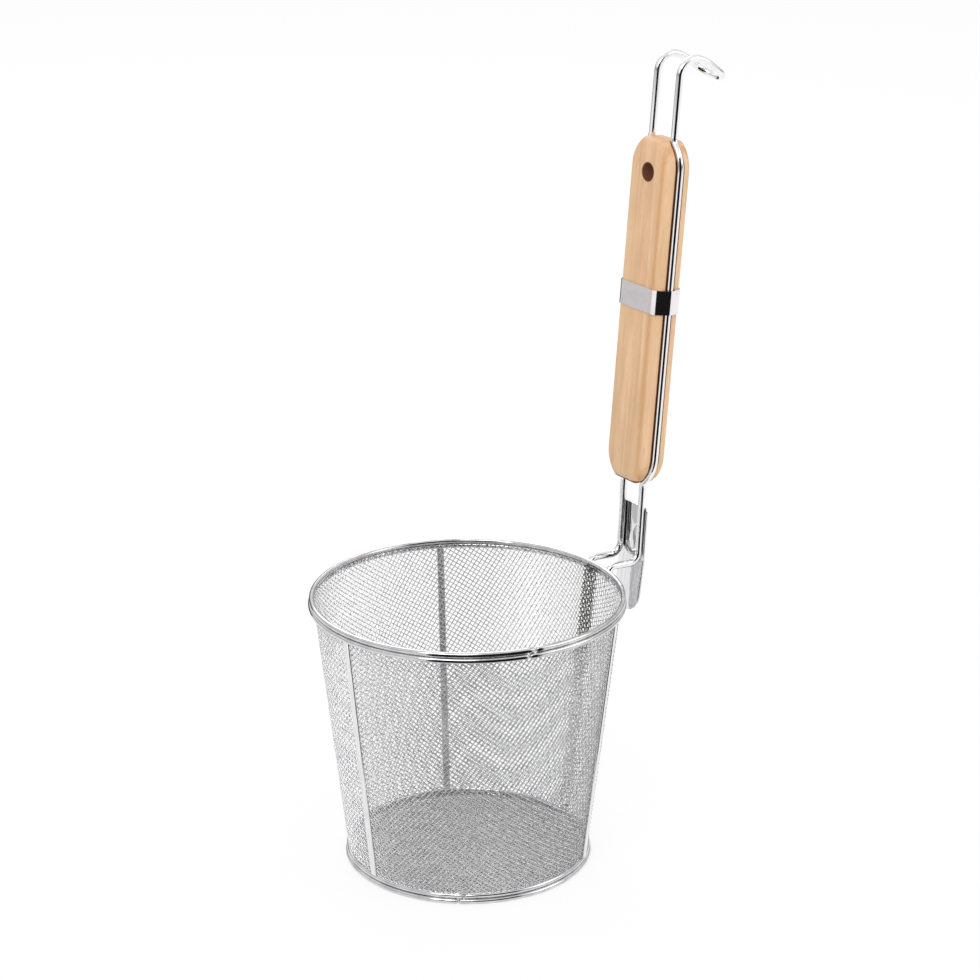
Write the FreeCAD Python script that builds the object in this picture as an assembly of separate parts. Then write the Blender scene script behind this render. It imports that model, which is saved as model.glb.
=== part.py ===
# Round basket of woven steel cloth with a wooden handle, for frying and for draining noodles.
# The basket stands on its base ring. The origin is the middle of that ring, on the surface the
# basket stands on, +Z is up and the handle stands on the +X side, in the plane y = 0.
# All sizes are in millimetres and all angles in degrees.

import FreeCAD, Part
import math
import os

# Basket
RIM_OUTER_RADIUS = 72.5
BASE_OUTER_RADIUS = 57.4
BASKET_HEIGHT = 128.5
RING_WIRE = 2.5
RING_STEP = 0.5
PLAN_SIDES = 54
RING_WIRE_SIDES = 8

# Woven cloth
CLOTH_THICKNESS = 0.9
HOOP_ROWS = 5
HOOP_HEIGHT = 7.0
COLUMNS = 18
BAR_WIDTH = 5.8
BAR_RIDGE = 0.25
SEAM_WIDTH = 9.5
SEAM_THICKNESS = 0.9
DISC_GAP = 7.4
DISC_PITCH = 11.8
DISC_EDGE = 1.5
DISC_RIDGE = 0.2
DISC_RIDGE_WIDTH = 1.6

# Ribs
RIB_COUNT = 3
RIB_FIRST_ANGLE = 67.2
RIB_WIDTH = 3.5
RIB_THICKNESS = 1.0
RIB_EDGE = 0.4
RIB_REST = 0.06

# Handle wire
HANDLE_WIRE = 3.2
HANDLE_WIRE_SIDES = 12
BEND_STEP = 18.0
LEG_HALF_SPACING = 7.15
GRIP_HALF_SPACING = 14.4
HOOK_HALF_SPACING = 8.6
FOOT_DROP = 3.75
RUN_RISE = 1.65
LEG_OFFSET = 18.3
LEG_LEAN = 3.3
GRIP_LEAN = 4.7
HOOK_RISE = 38.3
HOOK_TOP_LENGTH = 13.5
HOOK_TOP_ANGLE = 14.0
HOOK_TOP_BEND = 8.0
HOOK_END_LENGTH = 17.4
HOOK_END_ANGLE = 36.5
HOOK_END_BEND = 18.0
FOOT_BEND = 3.2
CORNER_BEND = 5.0
JOG_BEND = 5.0

# Grip
GRIP_LENGTH = 160.5
GRIP_WIDTH = 28.6
GRIP_THICKNESS = 14.0
GRIP_RISE = 38.8
GRIP_END_ROUND = 16.0
GRIP_END_HALF = 6.8
GRIP_EDGE_ROUND = 3.4
GRIP_EDGE_FLATS = 3
GROOVE_RADIUS = 2.4
GROOVE_CLEARANCE = 0.1
HOLE_RADIUS = 4.5
HOLE_FROM_TOP = 15.2

# Collar band
BAND_HEIGHT = 11.3
BAND_SHEET = 0.6
BAND_CLEARANCE = 0.05
BAND_FROM_TOP = 72.8

# Pot clip plate
CLIP_WIDTH = 19.0
CLIP_SHEET = 0.8
CLIP_RISE = 26.4
CLIP_DROP = 25.4
CLIP_BEND_ANGLE = 4.5
CLIP_TIP_ROUND = 9.3
CLIP_TOP_ROUND = 2.2

V = FreeCAD.Vector
Z_AXIS = V(0, 0, 1)
ring_r = RING_WIRE / 2
wire_r = HANDLE_WIRE / 2
side_turn = 360 / PLAN_SIDES


def corner_at(radius, side, z):
    """Corner before a flat side of the plan, whose middle lies at a radius from the basket's axis."""
    a = math.radians((side - 0.5) * side_turn)
    reach = radius / math.cos(math.radians(side_turn / 2))
    return V(reach * math.cos(a), reach * math.sin(a), z)


def closed_solid(faces):
    """Solid from the flat faces that close it."""
    shell = Part.makeShell(faces)
    shell.sewShape()
    solid = Part.makeSolid(shell)
    if solid.Volume < 0:
        solid.reverse()
    return solid


def flat(points):
    """Flat face on a closed row of points."""
    return Part.Face(Part.makePolygon(points + [points[0]]))


def turned(section):
    """Closed ring in flat sides, from a section of (radius, height) points taken round the axis."""
    faces = []
    for side in range(PLAN_SIDES):
        for (r0, z0), (r1, z1) in zip(section, section[1:] + section[:1]):
            here = [corner_at(r0, side, z0), corner_at(r1, side, z1)]
            there = [corner_at(r1, side + 1, z1), corner_at(r0, side + 1, z0)]
            faces.append(flat(here + there))
    return closed_solid(faces)


# Where the four rings lie, as (radius, height). In each pair one ring rests on the other, the
# upper one a little nearer the axis.
rim_lower = (RIM_OUTER_RADIUS - ring_r, BASKET_HEIGHT - ring_r - RING_WIRE)
rim_upper = (RIM_OUTER_RADIUS - ring_r - RING_STEP, BASKET_HEIGHT - ring_r)
base_lower = (BASE_OUTER_RADIUS - ring_r, ring_r)
base_upper = (BASE_OUTER_RADIUS - ring_r - RING_STEP, ring_r + RING_WIRE)
flat_half = ring_r * math.tan(math.pi / RING_WIRE_SIDES)


def wire_ring(place):
    """Round wire bent to a closed ring."""
    radius, z = place
    half = 180 / RING_WIRE_SIDES
    section = []
    for corner in range(RING_WIRE_SIDES):
        a = math.radians(half * (2 * corner + 1))
        reach = ring_r / math.cos(math.radians(half))
        section.append((radius + reach * math.cos(a), z + reach * math.sin(a)))
    return turned(section)


# The cloth wall stands on the crown of the upper base ring and leans out until it touches the
# inner side of the lower rim ring, with its edge under the upper rim ring.
wall_low_z = base_upper[1] + ring_r
wall_high_z = rim_upper[1] - ring_r
wall_low_outer = base_upper[0] + CLOTH_THICKNESS / 2
wall_slope = (rim_lower[0] - ring_r - wall_low_outer) / (rim_lower[1] + flat_half - wall_low_z)


def wall_outer(z):
    """Outer radius of the cloth wall at a height."""
    return wall_low_outer + wall_slope * (z - wall_low_z)


def hoop(low_z, high_z):
    """Band of cloth all the way round, between two rows of gaps."""
    section = [
        (wall_outer(low_z) - CLOTH_THICKNESS, low_z),
        (wall_outer(low_z), low_z),
        (wall_outer(high_z), high_z),
        (wall_outer(high_z) - CLOTH_THICKNESS, high_z),
    ]
    return turned(section)


def upright(section, low_z, high_z, turn):
    """Bar that leans with the wall, from a section of (depth from the wall, side) points."""
    face = flat([V(wall_outer(low_z) + depth, side, low_z) for depth, side in section])
    bar = face.extrude(V(wall_outer(high_z) - wall_outer(low_z), 0, high_z - low_z))
    bar.rotate(V(0, 0, 0), Z_AXIS, turn)
    return bar


def cloth_bar(turn):
    """Bar of cloth from the base to the rim, with a ridge that stays under the wall's surface."""
    half = BAR_WIDTH / 2
    valley = -2 * BAR_RIDGE
    inner = BAR_RIDGE - CLOTH_THICKNESS
    section = [(inner, -half), (valley, -half), (-BAR_RIDGE / 2, 0), (valley, half), (inner, half)]
    return upright(section, wall_low_z, wall_high_z, turn)


def seam():
    """Lap of the cloth's two edges, a second layer on the inside of the wall."""
    half = SEAM_WIDTH / 2
    inner = -CLOTH_THICKNESS - SEAM_THICKNESS
    section = [(inner, -half), (-BAR_RIDGE, -half), (-BAR_RIDGE, half), (inner, half)]
    return upright(section, wall_low_z, wall_high_z, 0)


def side_mesh():
    """Cloth wall: hoops and ridged bars in one piece, with the gaps between them and the lap seam."""
    pitch = (wall_high_z - wall_low_z - HOOP_HEIGHT) / HOOP_ROWS
    pieces = []
    for row in range(HOOP_ROWS + 1):
        low = wall_low_z + row * pitch
        pieces.append(hoop(low, low + HOOP_HEIGHT))
    for column in range(1, COLUMNS):
        pieces.append(cloth_bar(column * 360 / COLUMNS))
    pieces.append(seam())
    return pieces[0].fuse(pieces[1:])


def plan_disc(radius, low_z, thickness):
    """Flat disc in the same sides as the rings."""
    outline = flat([corner_at(radius, side, low_z) for side in range(PLAN_SIDES)])
    return outline.extrude(V(0, 0, thickness))


def base_mesh():
    """Cloth disc with square gaps and crossing ridges, its edge between the two base rings."""
    middle = base_lower[1] + ring_r
    half = CLOTH_THICKNESS / 2
    sheet_half = half - DISC_RIDGE
    radius = base_upper[0] - flat_half - half
    disc = plan_disc(radius, middle - sheet_half, 2 * sheet_half)
    rows = int(radius // DISC_PITCH)
    gaps = []
    ridges = []
    for i in range(-rows, rows + 1):
        x = i * DISC_PITCH
        for j in range(-rows, rows + 1):
            y = j * DISC_PITCH
            if math.hypot(abs(x) + DISC_GAP / 2, abs(y) + DISC_GAP / 2) < radius - DISC_EDGE:
                corner = V(x - DISC_GAP / 2, y - DISC_GAP / 2, middle - DISC_GAP / 2)
                gaps.append(Part.makeBox(DISC_GAP, DISC_GAP, DISC_GAP, corner))
    for i in range(-rows - 1, rows + 1):
        place = (i + 0.5) * DISC_PITCH - DISC_RIDGE_WIDTH / 2
        if abs(place) < radius - DISC_PITCH / 2:
            upper = V(-radius, place, middle + sheet_half)
            lower = V(place, -radius, middle - half)
            ridges.append(Part.makeBox(2 * radius, DISC_RIDGE_WIDTH, DISC_RIDGE, upper))
            ridges.append(Part.makeBox(DISC_RIDGE_WIDTH, 2 * radius, DISC_RIDGE, lower))
    return disc.cut(gaps).fuse(ridges).common(plan_disc(radius, middle - half, CLOTH_THICKNESS))


def rib(turn):
    """Steel strip up the outside of the wall, from the base rings to the lower rim ring."""
    half = RIB_WIDTH / 2
    face = RIB_REST + RIB_THICKNESS
    section = [
        (RIB_REST, -half),
        (face - RIB_EDGE, -half),
        (face, RIB_EDGE - half),
        (face, half - RIB_EDGE),
        (face - RIB_EDGE, half),
        (RIB_REST, half),
    ]
    return upright(section, wall_low_z, rim_lower[1] - ring_r, turn)


# Two straight lines in the plane y = 0 carry the handle: the legs' line, which starts at the outer
# end of the level runs, and the grip's line, which starts at the grip's lower end.
run_z = rim_lower[1] + RUN_RISE
leg_x = RIM_OUTER_RADIUS + LEG_OFFSET
leg_slope = math.tan(math.radians(LEG_LEAN))
grip_foot = V(leg_x + leg_slope * GRIP_RISE, 0, run_z + GRIP_RISE)
grip_up = V(math.sin(math.radians(GRIP_LEAN)), 0, math.cos(math.radians(GRIP_LEAN)))
grip_out = V(grip_up.z, 0, -grip_up.x)

# Each end of the grip draws in along an arc, from its full width at this distance from the end.
end_arc_y = GRIP_WIDTH / 2 - GRIP_END_ROUND
end_depth = math.sqrt(GRIP_END_ROUND**2 - (GRIP_END_HALF - end_arc_y) ** 2)


def on_grip(along, side, out=0.0):
    """Point on the grip's line: along it from the grip's lower end, to one side, and outwards."""
    return grip_foot + grip_up * along + V(0, side, 0) + grip_out * out


def heading(droop):
    """Direction away from the basket that falls at an angle."""
    return V(math.cos(math.radians(droop)), 0, -math.sin(math.radians(droop)))


def jog(narrow):
    """Distances from the grip's end of the two corners where the wire follows the end's arc inwards."""
    follow = GRIP_END_ROUND + GRIP_HALF_SPACING - GRIP_WIDTH / 2
    turn = math.acos(1 - (GRIP_HALF_SPACING - narrow) / (follow + JOG_BEND))
    narrow_start = end_depth - (follow + JOG_BEND) * math.sin(turn)
    return narrow_start + JOG_BEND * math.tan(turn / 2), end_depth - follow * math.tan(turn / 2), follow


def grip_points(outwards):
    """Corners of the wire's path beside the grip on the +Y side, or of a path further outwards."""
    near, wide, follow = jog(LEG_HALF_SPACING)
    hook_near, hook_wide, follow = jog(HOOK_HALF_SPACING)
    side = GRIP_HALF_SPACING + outwards
    return [
        (on_grip(near, LEG_HALF_SPACING + outwards), JOG_BEND),
        (on_grip(wide, side), follow),
        (on_grip(GRIP_LENGTH - hook_wide, side), follow),
        (on_grip(GRIP_LENGTH - hook_near, HOOK_HALF_SPACING + outwards), JOG_BEND),
    ]


def handle_points():
    """Corners of the wire's path on the +Y side, from its foot to the hook's tip, with bend radii."""
    touch = RIM_OUTER_RADIUS + wire_r
    foot_x = math.sqrt(touch**2 - LEG_HALF_SPACING**2)
    side = LEG_HALF_SPACING
    hook_corner = on_grip(GRIP_LENGTH + HOOK_RISE, HOOK_HALF_SPACING)
    hook_knee = hook_corner + heading(HOOK_TOP_ANGLE) * HOOK_TOP_LENGTH
    hook_tip = hook_knee + heading(HOOK_END_ANGLE) * HOOK_END_LENGTH
    start = [
        (V(foot_x, side, rim_lower[1] - FOOT_DROP), 0),
        (V(foot_x, side, run_z), FOOT_BEND),
        (V(leg_x, side, run_z), CORNER_BEND),
    ]
    end = [
        (hook_corner, HOOK_TOP_BEND),
        (hook_knee, HOOK_END_BEND),
        (hook_tip, HOOK_HALF_SPACING),
    ]
    return start + grip_points(0) + end


def mirrored(points):
    """The same row of corners on the -Y side, from the tip back to the foot."""
    return [(V(p.x, -p.y, p.z), r) for p, r in reversed(points)]


def bent(corners):
    """Points along a path of straight runs and round bends through a row of corners."""
    points = [corners[0][0]]
    for (before, _), (corner, radius), (after, _) in zip(corners, corners[1:], corners[2:]):
        back = (before - corner).normalize()
        ahead = (after - corner).normalize()
        turn = math.pi - back.getAngle(ahead)
        reach = radius * math.tan(turn / 2)
        centre = corner + (back + ahead).normalize() * (radius / math.cos(turn / 2))
        start = corner + back * reach - centre
        side = back * -1
        steps = max(2, round(math.degrees(turn) / BEND_STEP))
        for step in range(steps + 1):
            a = turn * step / steps
            points.append(centre + start * math.cos(a) + side * (radius * math.sin(a)))
    points.append(corners[-1][0])
    return [p for p, q in zip(points, points[1:]) if (q - p).Length > 0.01] + [points[-1]]


def round_bar(points, radius):
    """Bar of round wire along a row of points, mitred at each point."""
    headings = [(q - p).normalize() for p, q in zip(points, points[1:])]
    first = headings[0]
    across = V(0, 1, 0)
    along = across.cross(first).normalize()
    ring = []
    for corner in range(HANDLE_WIRE_SIDES):
        a = 2 * math.pi * corner / HANDLE_WIRE_SIDES
        ring.append(points[0] + along * (radius * math.cos(a)) + across * (radius * math.sin(a)))
    faces = [flat(ring[::-1])]
    for index, heading in enumerate(headings):
        end = points[index + 1]
        normal = heading
        if index + 1 < len(headings):
            normal = (heading + headings[index + 1]).normalize()
        moved = [p + heading * ((end - p).dot(normal) / heading.dot(normal)) for p in ring]
        for (a, b), (c, d) in zip(zip(ring, ring[1:] + ring[:1]), zip(moved, moved[1:] + moved[:1])):
            faces.append(flat([a, b, d, c]))
        ring = moved
    faces.append(flat(ring))
    return closed_solid(faces)


def handle_wire():
    """One wire bent from foot to hook and back to the other foot."""
    half = handle_points()
    return round_bar(bent(half + mirrored(half)), wire_r)


def grip_outline(x, inset):
    """Outline of the grip, drawn in by an inset, at a depth across the grip."""
    w = GRIP_WIDTH / 2 - inset
    r = GRIP_END_ROUND - inset
    turn = math.asin((end_depth - inset) / r)
    half = end_arc_y + r * math.cos(turn)
    middle_y = end_arc_y + r * math.cos(turn / 2)
    middle_z = end_depth - r * math.sin(turn / 2)
    top = GRIP_LENGTH
    edges = [
        Part.LineSegment(V(x, w, end_depth), V(x, w, top - end_depth)),
        Part.Arc(V(x, w, top - end_depth), V(x, middle_y, top - middle_z), V(x, half, top - inset)),
        Part.LineSegment(V(x, half, top - inset), V(x, -half, top - inset)),
        Part.Arc(V(x, -half, top - inset), V(x, -middle_y, top - middle_z), V(x, -w, top - end_depth)),
        Part.LineSegment(V(x, -w, top - end_depth), V(x, -w, end_depth)),
        Part.Arc(V(x, -w, end_depth), V(x, -middle_y, middle_z), V(x, -half, inset)),
        Part.LineSegment(V(x, -half, inset), V(x, half, inset)),
        Part.Arc(V(x, half, inset), V(x, middle_y, middle_z), V(x, w, end_depth)),
    ]
    return Part.Wire([edge.toShape() for edge in edges])


def wood_grip():
    """Wooden slab with narrowed ends, rounded edges, a groove along each side and a hanging hole."""
    half_t = GRIP_THICKNESS / 2
    outlines = []
    for flank in (-1, 1):
        for step in range(GRIP_EDGE_FLATS + 1):
            a = math.radians(90 * (step if flank < 0 else GRIP_EDGE_FLATS - step) / GRIP_EDGE_FLATS)
            depth = half_t - GRIP_EDGE_ROUND * (1 - math.cos(a))
            outlines.append(grip_outline(flank * depth, GRIP_EDGE_ROUND * (1 - math.sin(a))))
    slab = Part.makeLoft(outlines, True, True)
    hole_start = V(-GRIP_THICKNESS, 0, GRIP_LENGTH - HOLE_FROM_TOP)
    slab = slab.cut(Part.makeCylinder(HOLE_RADIUS, 2 * GRIP_THICKNESS, hole_start, V(1, 0, 0)))
    slab.rotate(V(0, 0, 0), V(0, 1, 0), GRIP_LEAN)
    slab.translate(grip_foot)
    groove = grip_points(GROOVE_RADIUS - wire_r - GROOVE_CLEARANCE)
    below = (groove[0][0] - grip_up * GROOVE_RADIUS * 2, 0)
    above = (groove[-1][0] + grip_up * GROOVE_RADIUS * 2, 0)
    path = [below] + groove + [above]
    for corners in (path, mirrored(path)):
        slab = slab.cut(round_bar(bent(corners), GROOVE_RADIUS))
    return slab


def hull_outline(circles, grow, z):
    """Taut outline round a row of circles taken anticlockwise, each grown by the same amount."""
    grown = [(x, y, r + grow) for x, y, r in circles]
    touches = []
    for (x0, y0, r0), (x1, y1, r1) in zip(grown, grown[1:] + grown[:1]):
        reach = math.hypot(x1 - x0, y1 - y0)
        heading = math.atan2(y1 - y0, x1 - x0)
        normal = heading - math.pi / 2 + math.asin((r1 - r0) / reach) * -1
        unit = (math.cos(normal), math.sin(normal))
        leave = V(x0 + r0 * unit[0], y0 + r0 * unit[1], z)
        touches.append((leave, V(x1 + r1 * unit[0], y1 + r1 * unit[1], z), normal))
    edges = []
    for index, (x, y, r) in enumerate(grown):
        _, arrive, normal_in = touches[index - 1]
        leave, onward, normal_out = touches[index]
        turn = (normal_out - normal_in) % (2 * math.pi)
        middle = normal_in + turn / 2
        halfway = V(x + r * math.cos(middle), y + r * math.sin(middle), z)
        edges.append(Part.Arc(arrive, halfway, leave).toShape())
        edges.append(Part.LineSegment(leave, onward).toShape())
    return Part.Wire(edges)


def collar_band():
    """Sheet band pulled taut round the grip and both wires."""
    corner_x = GRIP_THICKNESS / 2 - GRIP_EDGE_ROUND
    corner_y = GRIP_WIDTH / 2 - GRIP_EDGE_ROUND
    circles = [
        (corner_x, -corner_y, GRIP_EDGE_ROUND),
        (corner_x, corner_y, GRIP_EDGE_ROUND),
        (0, GRIP_HALF_SPACING, wire_r),
        (-corner_x, corner_y, GRIP_EDGE_ROUND),
        (-corner_x, -corner_y, GRIP_EDGE_ROUND),
        (0, -GRIP_HALF_SPACING, wire_r),
    ]
    low = GRIP_LENGTH - BAND_FROM_TOP - BAND_HEIGHT / 2
    outside = hull_outline(circles, BAND_CLEARANCE + BAND_SHEET, low)
    inside = hull_outline(circles, BAND_CLEARANCE, low)
    band = Part.Face([outside, inside]).extrude(V(0, 0, BAND_HEIGHT))
    band.rotate(V(0, 0, 0), V(0, 1, 0), GRIP_LEAN)
    band.translate(grip_foot)
    return band


def clip_plate():
    """Plate across the outer side of both legs, with a tongue bent in to hook over a pot's edge."""
    lean = math.radians(LEG_LEAN)
    high = CLIP_RISE / math.cos(lean)
    low = -CLIP_DROP / math.cos(lean)
    tip_x = wire_r + low * math.tan(math.radians(CLIP_BEND_ANGLE))
    half = CLIP_WIDTH / 2
    front = [V(wire_r, -half, high), V(wire_r, -half, 0), V(tip_x, -half, low)]
    back = [p + V(CLIP_SHEET, 0, 0) for p in reversed(front)]
    sheet = flat(front + back).extrude(V(0, CLIP_WIDTH, 0))
    reach = CLIP_DROP / 2
    outline = Part.makeBox(2 * reach, CLIP_WIDTH, high - low, V(-reach, -half, low))
    for radius, height in ((CLIP_TIP_ROUND, low), (CLIP_TOP_ROUND, high)):
        across = [e for e in outline.Edges if abs(e.tangentAt(e.FirstParameter).x) > 0.9]
        ends = [e for e in across if abs(e.CenterOfMass.z - height) < 0.01]
        outline = outline.makeFillet(radius, ends)
    plate = sheet.common(outline)
    plate.rotate(V(0, 0, 0), V(0, 1, 0), LEG_LEAN)
    plate.translate(V(leg_x, 0, run_z))
    return plate


def export(shape, node):
    """Write one sub-part."""
    shape.exportStep("parts/" + node + ".step")


def main():
    os.makedirs("parts", exist_ok=True)
    export(wire_ring(rim_upper), "rim_ring_upper")
    export(wire_ring(rim_lower), "rim_ring_lower")
    export(wire_ring(base_upper), "base_ring_upper")
    export(wire_ring(base_lower), "base_ring_lower")
    export(side_mesh(), "side_mesh")
    export(base_mesh(), "base_mesh")
    for index in range(RIB_COUNT):
        export(rib(RIB_FIRST_ANGLE + index * 360 / RIB_COUNT), "rib_" + str(index + 1))
    export(handle_wire(), "handle_wire")
    export(wood_grip(), "wood_grip")
    export(collar_band(), "collar_band")
    export(clip_plate(), "clip_plate")


main()
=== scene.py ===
"""Round frying basket of woven steel wire with a wooden grip, dressed for a plain studio view."""

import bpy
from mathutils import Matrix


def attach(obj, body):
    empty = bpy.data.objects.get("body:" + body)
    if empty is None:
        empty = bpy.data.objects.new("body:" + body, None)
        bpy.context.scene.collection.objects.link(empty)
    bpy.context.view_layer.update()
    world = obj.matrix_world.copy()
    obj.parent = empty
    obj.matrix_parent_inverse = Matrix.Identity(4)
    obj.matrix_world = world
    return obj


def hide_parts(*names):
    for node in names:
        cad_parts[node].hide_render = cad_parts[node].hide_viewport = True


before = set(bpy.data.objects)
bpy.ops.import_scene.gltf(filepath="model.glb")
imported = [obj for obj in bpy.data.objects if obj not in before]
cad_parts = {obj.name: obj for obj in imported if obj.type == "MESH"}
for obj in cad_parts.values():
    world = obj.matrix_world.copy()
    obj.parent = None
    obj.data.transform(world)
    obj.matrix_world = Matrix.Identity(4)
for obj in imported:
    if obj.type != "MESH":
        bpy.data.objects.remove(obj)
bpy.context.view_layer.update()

import logging
import math
from dataclasses import dataclass
from enum import Enum

import bmesh
import bpy
from mathutils import Matrix, Vector

log = logging.getLogger("basket")

MM = 0.001
ARC_STEPS = 14
RING_STEPS = 180
RING_SIDES = 20
EDGE_STEPS = 6
CARD_STEPS = 16
CIRCLE_STEPS = 48
GROOVE_PLAY = 0.1  # millimetres of room for the wire
GROOVE_RUN_OUT = 6  # millimetres past the wire's last bend
SHARP_TURN = 1.2  # radians between an edge's two faces
LAMP_AIM = Vector((0.03, 0, 0.15))

Pair = tuple[float, float]
Triple = tuple[float, float, float]
Corners = list[tuple[Vector, float]]
Shape = bmesh.types.BMesh
Socket = bpy.types.NodeSocket
Source = bpy.types.Node | bpy.types.NodeSocket


def polar(radius: float, turn: float, height: float) -> Vector:
    """Point in metres from a radius and height in millimetres and a turn in radians from +X.

    Args:
        radius: distance from the basket's axis.
        turn: angle about the axis.
        height: height above the worktop.

    Returns:
        The point.
    """
    return Vector((radius * math.cos(turn), radius * math.sin(turn), height)) * MM


# Finishes


class Nodes:
    """Small helper that adds and links shader nodes of one material or world."""

    def __init__(self, tree: bpy.types.NodeTree) -> None:
        """Start on an empty tree.

        Args:
            tree: the material's or world's node tree.
        """
        self.tree = tree
        tree.nodes.clear()

    def add(self, kind: str, *inputs: object, **values: object) -> bpy.types.Node:
        """Add a node, and set its properties and sockets.

        Args:
            kind: the node's type name.
            inputs: what its first sockets get, in order.
            values: properties of the node, or sockets by name with underscores for spaces.

        Returns:
            The new node.
        """
        node = self.tree.nodes.new(kind)
        for name, value in values.items():
            if hasattr(node, name):
                setattr(node, name, value)
            else:
                self.feed(node.inputs[name.replace("_", " ")], value)
        for socket, value in zip(node.inputs, inputs):
            self.feed(socket, value)
        return node

    def feed(self, socket: Socket, value: object) -> None:
        """Set a socket or link it.

        Args:
            socket: the socket.
            value: the value that it gets, or the socket or node that it is linked to.
        """
        if isinstance(value, bpy.types.Node):
            value = value.outputs[0]
        if isinstance(value, Socket):
            self.tree.links.new(value, socket)
        else:
            socket.default_value = value

    def ramp(self, factor: Source, stops: list[tuple[float, Triple]]) -> Socket:
        """Colour ramp on a factor.

        Args:
            factor: socket that drives the ramp.
            stops: position and colour of each stop, in order.

        Returns:
            The colour's socket.
        """
        node = self.add("ShaderNodeValToRGB", factor)
        elements = node.color_ramp.elements
        while len(elements) < len(stops):
            elements.new(0.5)
        for element, (position, colour) in zip(elements, stops):
            element.position = position
            element.color = (*colour, 1)
        return node.outputs[0]

    def smooth(self, value: Source, low: float, high: float, ends: Pair = (0.0, 1.0)) -> Socket:
        """Smooth step.

        Args:
            value: what is mapped.
            low: value at which the step starts.
            high: value at which it ends.
            ends: results at its start and its end.

        Returns:
            The result's socket.
        """
        step = self.add("ShaderNodeMapRange", value, low, high, *ends, interpolation_type="SMOOTHSTEP")
        return step.outputs[0]

    def noise(self, place: Socket, scale: Triple, detail: float, rough: float, wander: float = 0.0) -> Socket:
        """Noise that is stretched along the axes.

        Args:
            place: socket with the place.
            scale: how fine the noise is along X, Y and Z, per metre.
            detail: its octaves.
            rough: share of each further octave.
            wander: how far it is twisted.

        Returns:
            The noise's socket.
        """
        stretched = self.add("ShaderNodeMapping", place, Scale=scale)
        node = self.add(
            "ShaderNodeTexNoise", stretched, Scale=1.0, Detail=detail, Roughness=rough, Distortion=wander
        )
        return node.outputs[0]

    def blend(self, kind: str, share: Source | float, under: Socket, top: Socket | Triple) -> Socket:
        """Lay one colour over another.

        Args:
            kind: blend mode.
            share: how much of the top colour shows.
            under: the lower colour.
            top: the top colour.

        Returns:
            The result's socket.
        """
        node = self.add("ShaderNodeMix", share, data_type="RGBA", blend_type=kind)
        self.feed(node.inputs[6], under)
        self.feed(node.inputs[7], (*top, 1) if isinstance(top, tuple) else top)
        return node.outputs[2]

    def away(self, place: Socket, axes: Triple, middle: Triple) -> Socket:
        """Distance from a line or a plane.

        Args:
            place: socket with the place.
            axes: 1 for each axis that counts and 0 for the others.
            middle: where the line or plane lies on the axes that count.

        Returns:
            The distance's socket.
        """
        flat = self.add("ShaderNodeVectorMath", place, axes, operation="MULTIPLY")
        return self.add("ShaderNodeVectorMath", flat, middle, operation="DISTANCE").outputs["Value"]


def new_material(name: str) -> tuple[bpy.types.Material, Nodes]:
    """Empty material.

    Args:
        name: its name.

    Returns:
        The material and its nodes.
    """
    material = bpy.data.materials.new(name)
    material.use_nodes = True
    return material, Nodes(material.node_tree)


@dataclass(frozen=True)
class SteelFinish:
    """Bare stainless steel with faint draw marks or brushing.

    Attributes:
        name: material name.
        dark: colour in the marks.
        light: colour of clean metal.
        rough: roughness where smooth and where marked.
        grain: how fine the marks are along X, Y and Z, per metre.
        seam_shade: half the width of a painted shade along the cloth's overlapping seam on the +X side, in
            metres; 0 is none.
        seam_shade_colour: colour of that painted shade.
        seam_shade_fade: heights between which the painted seam shade grows to its full strength, in metres.
    """

    name: str
    dark: Triple
    light: Triple
    rough: Pair
    grain: Triple
    seam_shade: float = 0.0
    seam_shade_colour: Triple = (0.17, 0.165, 0.16)
    seam_shade_fade: Pair = (0.060, 0.100)

    def build(self) -> bpy.types.Material:
        """Make the material.

        Returns:
            The material.
        """
        material, nodes = new_material(self.name)
        place = nodes.add("ShaderNodeTexCoord").outputs["Object"]
        marks = nodes.noise(place, self.grain, 5.0, 0.6)
        colour = nodes.ramp(marks, [(0.3, self.dark), (0.62, self.light)])
        # Painted shade along the cloth's overlapping seam, where the cloth lies double
        if self.seam_shade:
            colour = self.seam_shaded(nodes, place, colour)
        rough = nodes.add("ShaderNodeMapRange", marks, 0.0, 1.0, *self.rough)
        shader = nodes.add("ShaderNodeBsdfPrincipled", Metallic=1.0, Base_Color=colour, Roughness=rough)
        nodes.add("ShaderNodeOutputMaterial", shader)
        return material

    def seam_shaded(self, nodes: Nodes, place: Socket, clean: Socket) -> Socket:
        """Paint shade onto the steel along the cloth's overlapping seam.

        Args:
            nodes: the material's nodes.
            place: socket with the place on the object.
            clean: socket with the colour of clean steel.

        Returns:
            The darkened colour's socket.
        """
        parts = nodes.add("ShaderNodeSeparateXYZ", place)
        side = nodes.add("ShaderNodeMath", parts.outputs["Y"], operation="ABSOLUTE")
        across = nodes.smooth(side, self.seam_shade * 1.15, self.seam_shade * 0.85)
        ahead = nodes.add("ShaderNodeMath", parts.outputs["X"], 0.0, operation="GREATER_THAN")
        height = nodes.smooth(parts.outputs["Z"], *self.seam_shade_fade, ends=(0.15, 1.0))
        share = nodes.add("ShaderNodeMath", across, ahead, operation="MULTIPLY")
        share = nodes.add("ShaderNodeMath", share, height, operation="MULTIPLY")
        return nodes.blend("MIX", share, clean, self.seam_shade_colour)


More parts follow.
